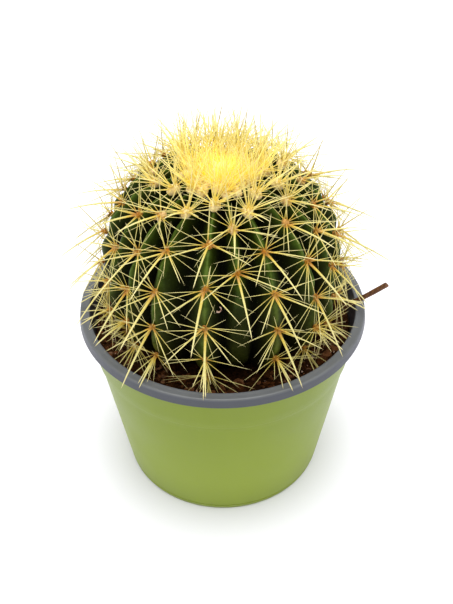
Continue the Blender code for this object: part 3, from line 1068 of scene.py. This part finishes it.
def makeCrownSpines():
    rng = random.Random(23)
    look = crownLook
    made = []
    for rib in range(ribCount):
        nearest = padDistances(rib)[0]
        facing = cos(radians(plantLook["ribAngles"][rib]))
        lengths = (look["length"], look["innerLength"])
        for share, length, base in zip(look["innerPads"], lengths, (0.45, 0.72)):
            here = crestFrame(rib, nearest * share)
            base += look["frontTone"] * facing
            for i in range(look["spinesPerPad"]):
                laySpine(made, rng, youngMaster, here,
                         rng.uniform(0.25, 1.75) * pi, radians(rng.uniform(30, 84)),
                         length * rng.uniform(0.6, 1.15), look["width"] * rng.uniform(0.8, 1.2),
                         -0.01, min(1.0, base + rng.uniform(-0.15, 0.25)))
    for i in range(look["middleSpines"]):
        angle = rng.uniform(0, tau)
        reach = look["woolRadius"] * sqrt(rng.random())
        foot = aroundAxis(angle, reach, plantLook["top"] + 0.0012) - Vector((0, look["middleForward"], 0))
        out = aroundAxis(angle, reach * 16, 1) + Vector((rng.uniform(-0.3, 0.3), rng.uniform(-0.3, 0.3), 0))
        frameHere = (foot, out.normalized(), Vector((0, 1, 0)), Vector((1, 0, 0)))
        laySpine(made, rng, youngMaster, frameHere, rng.uniform(0, tau), radians(rng.uniform(66, 90)),
                 look["middleLength"] * rng.uniform(0.55, 1.1),
                 look["width"] * rng.uniform(0.8, 1.2), -0.01, 1.0)
    tuft = joinAll(made, "crownTuft")
    finishPiece(tuft, spineStraw, "spines", "crown_spines")


makeCrownSpines()
removeAll([centralMaster, radialMaster, youngMaster])
print("crown spines made")


feltLook = {
    "width": 0.0023,
    "length": 0.0031,
    "height": 0.0011,
    "youngGrowth": 1.3,
    "tufts": 16,
    "tuftLength": 0.0014,
    "tuftWidth": 0.00042,
}


def makeFeltMaster():
    master = startShape(bpy.ops.mesh.primitive_uv_sphere_add, "feltMaster", segments=14, ring_count=9, radius=1)
    movePoints(master, lambda point: point * (1 + 0.16 * noise.noise(point * 2.1)))
    master.data.shade_smooth()
    return master


def feltPoints(master, here, width, length, height, rng):
    point, out, up, side = here
    unit = getPoints(master.data)
    twist = rng.uniform(-0.3, 0.3)
    alongUp = up * cos(twist) + side * sin(twist)
    alongSide = side * cos(twist) - up * sin(twist)
    points = np.array(point + out * (height * 0.15)) + np.array(alongSide) * unit[:, 0:1] * (width / 2)
    points += np.array(alongUp) * unit[:, 1:2] * (length / 2)
    points += np.array(out) * unit[:, 2:3] * height
    return points


def makeFeltPads():
    rng = random.Random(31)
    look = feltLook
    blob = makeFeltMaster()
    tuft = makeSpineMaster("tuftMaster", 5, (0.3, 0.7), 0.7)
    made = []
    for rib in range(ribCount):
        pads = padDistances(rib)
        inner = [pads[0] * share for share in crownLook["innerPads"]]
        for distance in inner + pads:
            here = crestFrame(rib, distance)
            youth = max(0.0, min(1.0, (0.048 - distance) / 0.022))
            grow = 1 + look["youngGrowth"] * youth
            tone = max(0.0, min(1.0, youth * 1.3 - 0.2 + rng.uniform(-0.12, 0.12)))
            shape = feltPoints(blob, here, look["width"] * grow, look["length"] * grow,
                               look["height"] * grow, rng)
            made.append(copyShape(blob, toWorld(shape), tone))
            point, out, up, side = here
            for i in range(look["tufts"]):
                turn = rng.uniform(0, tau)
                reach = sqrt(rng.random()) * 0.9
                foot = point + side * (cos(turn) * reach * look["width"] / 2 * grow)
                foot += up * (sin(turn) * reach * look["length"] / 2 * grow)
                aim = out + (side * cos(turn) + up * sin(turn)) * reach * 0.9
                shape = bentPoints(tuft, foot, aim, out, look["tuftLength"] * grow * rng.uniform(0.7, 1.3),
                                   look["tuftWidth"], Vector((0, 0, 0)), 1.0)
                made.append(copyShape(tuft, toWorld(shape), min(1.0, tone + rng.uniform(0, 0.3))))
    pads = joinAll(made, "feltPads")
    finishPiece(pads, padFelt, "crown_felt")
    removeAll([blob, tuft])


def makeCrownWool():
    # a lumpy cap of wool over the growing point
    wool = startShape(bpy.ops.mesh.primitive_uv_sphere_add, "crownWool", segments=64, ring_count=32, radius=1)
    sink, spread, height = 0.0012, crownLook["woolRadius"], crownLook["woolHeight"]

    def shape(spot):
        lumps = 1 + 0.16 * noise.noise(spot * 4.5) + 0.1 * noise.noise(spot * 11)
        high = spot.z * (height + sink) * lumps if spot.z > 0 else spot.z * sink
        local = Vector((spot.x * spread * lumps, spot.y * spread * lumps, plantLook["top"] - sink + high))
        return plantFrame @ local

    movePoints(wool, shape)
    addPointValue(wool.data, "tone", 1.0)
    wool.data.shade_smooth()
    finishPiece(wool, padFelt, "crown_felt", "crown_wool")


makeFeltPads()
makeCrownWool()
print("felt made")


soilLook = {
    "roughness": 0.0015,
    "segments": 220,
    "edgeDrop": 0.0012,
    "hollowRadius": 0.046,
    "hollowDrop": 0.006,
    "ringGap": 0.001,
    "crumbs": 1700,
    "lumps": 190,
    "chips": 80,
    "innerEdge": 0.05,
    "outerEdge": 0.0675,
    "grit": 64,
}


def makeSoil():
    # it hollows out under the stem, where nothing shows
    lowest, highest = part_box("soil")
    floor = lowest.z
    wallRadius = highest.x
    floorRadius = nodeRadius("soil", floor)
    edge, hollow = soilLevel - soilLook["edgeDrop"], soilLevel - soilLook["hollowDrop"]
    profile = [(0.003, floor), (0.03, floor), (floorRadius, floor)]
    profile += [(floorRadius + (wallRadius - floorRadius) * share, floor + (edge - floor) * share)
                for share in (0.25, 0.5, 0.75, 1.0)]
    radius = wallRadius - 0.0004
    while radius > soilLook["hollowRadius"]:
        profile.append((radius, soilLevel))
        radius -= soilLook["ringGap"]
    profile += [(0.04, soilLevel), (0.038, hollow), (0.02, hollow), (0.003, hollow)]
    soil = turnProfile("pottingSoil", profile, soilLook["segments"])

    def roughen(spot):
        if spot.z > soilLevel - 0.002:
            rough = noise.noise(spot * 160) * 0.8 + noise.noise(spot * 420) * 0.5 + noise.noise(spot * 60) * 0.6
            spot.z += rough * soilLook["roughness"]
        return spot

    movePoints(soil, roughen)
    smoothBy(soil, 60)
    finishPiece(soil, soilEarth, "soil", "soil")


def makeCrumbMaster(name, subdivisions, seed):
    master = startShape(bpy.ops.mesh.primitive_ico_sphere_add, name, subdivisions=subdivisions, radius=1)
    rng = random.Random(seed)
    movePoints(master, lambda point: point * rng.uniform(0.72, 1.2))
    return master


def scatter(masters, count, inner, outer, sizes, squash, tones, seed, lift=0.0):
    rng = random.Random(seed)
    made = []
    for i in range(count):
        master = masters[i % len(masters)]
        size = sizes[0] + (sizes[1] - sizes[0]) * rng.random() ** 2.2
        radius = sqrt(rng.uniform(inner**2, outer**2))
        angle = rng.uniform(0, tau)
        rolled = Matrix.Rotation(rng.uniform(0, tau), 3, "X")
        turned = rolled @ Matrix.Rotation(rng.uniform(0, tau), 3, "Z")
        sized = Matrix.Diagonal((size, size * rng.uniform(0.6, 1.0), size * squash))
        shape = getPoints(master.data) @ np.array(turned @ sized).T
        height = soilLevel + size * rng.uniform(-0.15, 0.6) + lift
        spot = np.array((radius * sin(angle), -radius * cos(angle), height))
        made.append(copyShape(master, shape + spot, rng.uniform(*tones)))
    return made


def makeCrumbs():
    small = [makeCrumbMaster(f"crumbMaster{i}", 1, 40 + i) for i in range(4)]
    large = [makeCrumbMaster(f"lumpMaster{i}", 2, 50 + i) for i in range(4)]
    inner, outer = soilLook["innerEdge"], soilLook["outerEdge"]
    crumbs = scatter(small, soilLook["crumbs"], inner, outer, (0.0004, 0.0016), 0.8, (0.0, 1.0), 61)
    outer -= 0.0015
    crumbs += scatter(large, soilLook["lumps"], inner, outer, (0.0012, 0.0032), 0.75, (0.3, 1.0), 62)
    chips = scatter(large, soilLook["chips"], inner, outer, (0.0012, 0.003), 0.28, (0.4, 1.0), 63, 0.0004)
    outer += 0.0005
    inner += 0.004
    grains = scatter(small, soilLook["grit"], inner, outer, (0.0004, 0.001), 0.8, (0.0, 1.0), 64, 0.0008)
    finishPiece(joinAll(crumbs, "soilCrumbs"), soilCrumb, "soil")
    finishPiece(joinAll(chips, "barkChips"), barkFibre, "bark")
    finishPiece(joinAll(grains, "gritGrains"), paleGrit, "grit")
    removeAll(small + large)


def makeClods():
    # one faceted, pitted lump in the place of each clod and grain of the frame
    names = [name for name in sorted(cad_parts) if name.startswith(("clod", "grit"))]
    for number, name in enumerate(names):
        low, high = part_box(name)
        lump = startShape(bpy.ops.mesh.primitive_ico_sphere_add, name.replace("_", "Lump"),
                          subdivisions=4, radius=1)
        points = getPoints(lump.data)
        for index, point in enumerate(points):
            spot = Vector(point) * 1.4 + Vector((number * 3.1, 0, 0))
            rough = 0.86 + 0.3 * noise.noise(spot) + 0.14 * noise.noise(spot * 3.2)
            points[index] = point * (rough + 0.06 * noise.noise(spot * 8))
        largest = abs(points).max(axis=0)
        centre = np.array((low + high) / 2) - np.array((0, 0, 0.0006))
        setPoints(lump.data, points / largest * np.array((high - low) / 2) + centre)
        smoothBy(lump, 45)
        if name.startswith("clod"):
            addPointValue(lump.data, "tone", 0.35 + 0.1 * (number % 5))
            finishPiece(lump, soilCrumb, "bark", name)
        else:
            finishPiece(lump, paleGrit, "grit", name)


makeSoil()
makeCrumbs()
makeClods()
print("soil made")


twigLook = {
    "width": 0.0029,
    "thickness": 0.0023,
    "bow": 0.0005,
    "sway": 0.0004,
    "sides": 14,
    "sections": 14,
}


def makeRod(name, look):
    # a round bar along +Z with rings of points to bend it by
    rod = startShape(bpy.ops.mesh.primitive_cylinder_add, name, (0, 0, 0.5),
                     vertices=look["sides"], radius=1, depth=1)
    cutAcross(rod, [i / look["sections"] for i in range(1, look["sections"])])
    return rod


def makeTwig():
    foot, tip = Vector(twigLine["foot"]), Vector(twigLine["tip"])
    run = tip - foot
    along = run.normalized()
    across = along.cross(Vector((0, 1, 0))).normalized()
    thick = along.cross(across).normalized()
    twig = makeRod("brownTwig", twigLook)
    pickOnly(twig)
    bevel = twig.modifiers.new("edges", "BEVEL")
    bevel.width = 0.05
    bevel.segments = 2
    bevel.limit_method = "ANGLE"
    bevel.angle_limit = radians(60)
    bpy.ops.object.modifier_apply(modifier=bevel.name)

    def shape(spot):
        x, y, z = spot
        around = atan2(y, x)
        groove = 1 + 0.1 * sin(around * 3 + z * 4) + 0.08 * noise.noise(Vector((x * 2, y * 2, z * 9)))
        bow = thick * (twigLook["bow"] * sin(z * pi)) + across * (twigLook["sway"] * sin(z * 5.0))
        wide = across * (x * groove * twigLook["width"] / 2)
        return foot + run * z + bow + wide + thick * (y * groove * twigLook["thickness"] / 2)

    movePoints(twig, shape)
    faceOutwards(twig)
    smoothBy(twig, 50)
    finishPiece(twig, barkFibre, "bark", "twig")


curlLook = {
    "rib": 4,
    "distance": 0.0715,
    "aside": 0.0062,
    "lift": -0.003,
    "bend": 0.0011,
    "sweep": 4.2,
    "rise": 0.0022,
    "width": 0.0014,
    "thickness": 0.0005,
    "sides": 10,
    "sections": 10,
}


def makeDriedCurl():
    # a scrap of pale skin, caught on the stem between two rows of spines
    look = curlLook
    curl = makeRod("driedCurl", look)
    place, out, up, side = crestFrame(look["rib"], look["distance"])
    middle = place + side * look["aside"] + out * look["lift"]

    def shape(spot):
        x, y, z = spot
        turn = look["sweep"] * z
        around = up * cos(turn) + side * sin(turn)
        wide = look["width"] / 2 * (0.35 + sin(min(1, z * 1.3) * pi / 2) * 0.65)
        bent = middle + around * (look["bend"] * (0.6 + 0.4 * z)) + out * (z * look["rise"])
        return plantFrame @ (bent + out * (x * wide) + around * (y * look["thickness"] / 2))

    movePoints(curl, shape)
    addPointValue(curl.data, "tone", 1.0)
    faceOutwards(curl)
    smoothBy(curl, 50)
    finishPiece(curl, paleGrit, "grit")


def coverRoots():
    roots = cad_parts["roots"]
    roots.data.materials.clear()
    roots.data.materials.append(rootSkin)


makeTwig()
makeDriedCurl()
coverRoots()
print("twig and roots made")
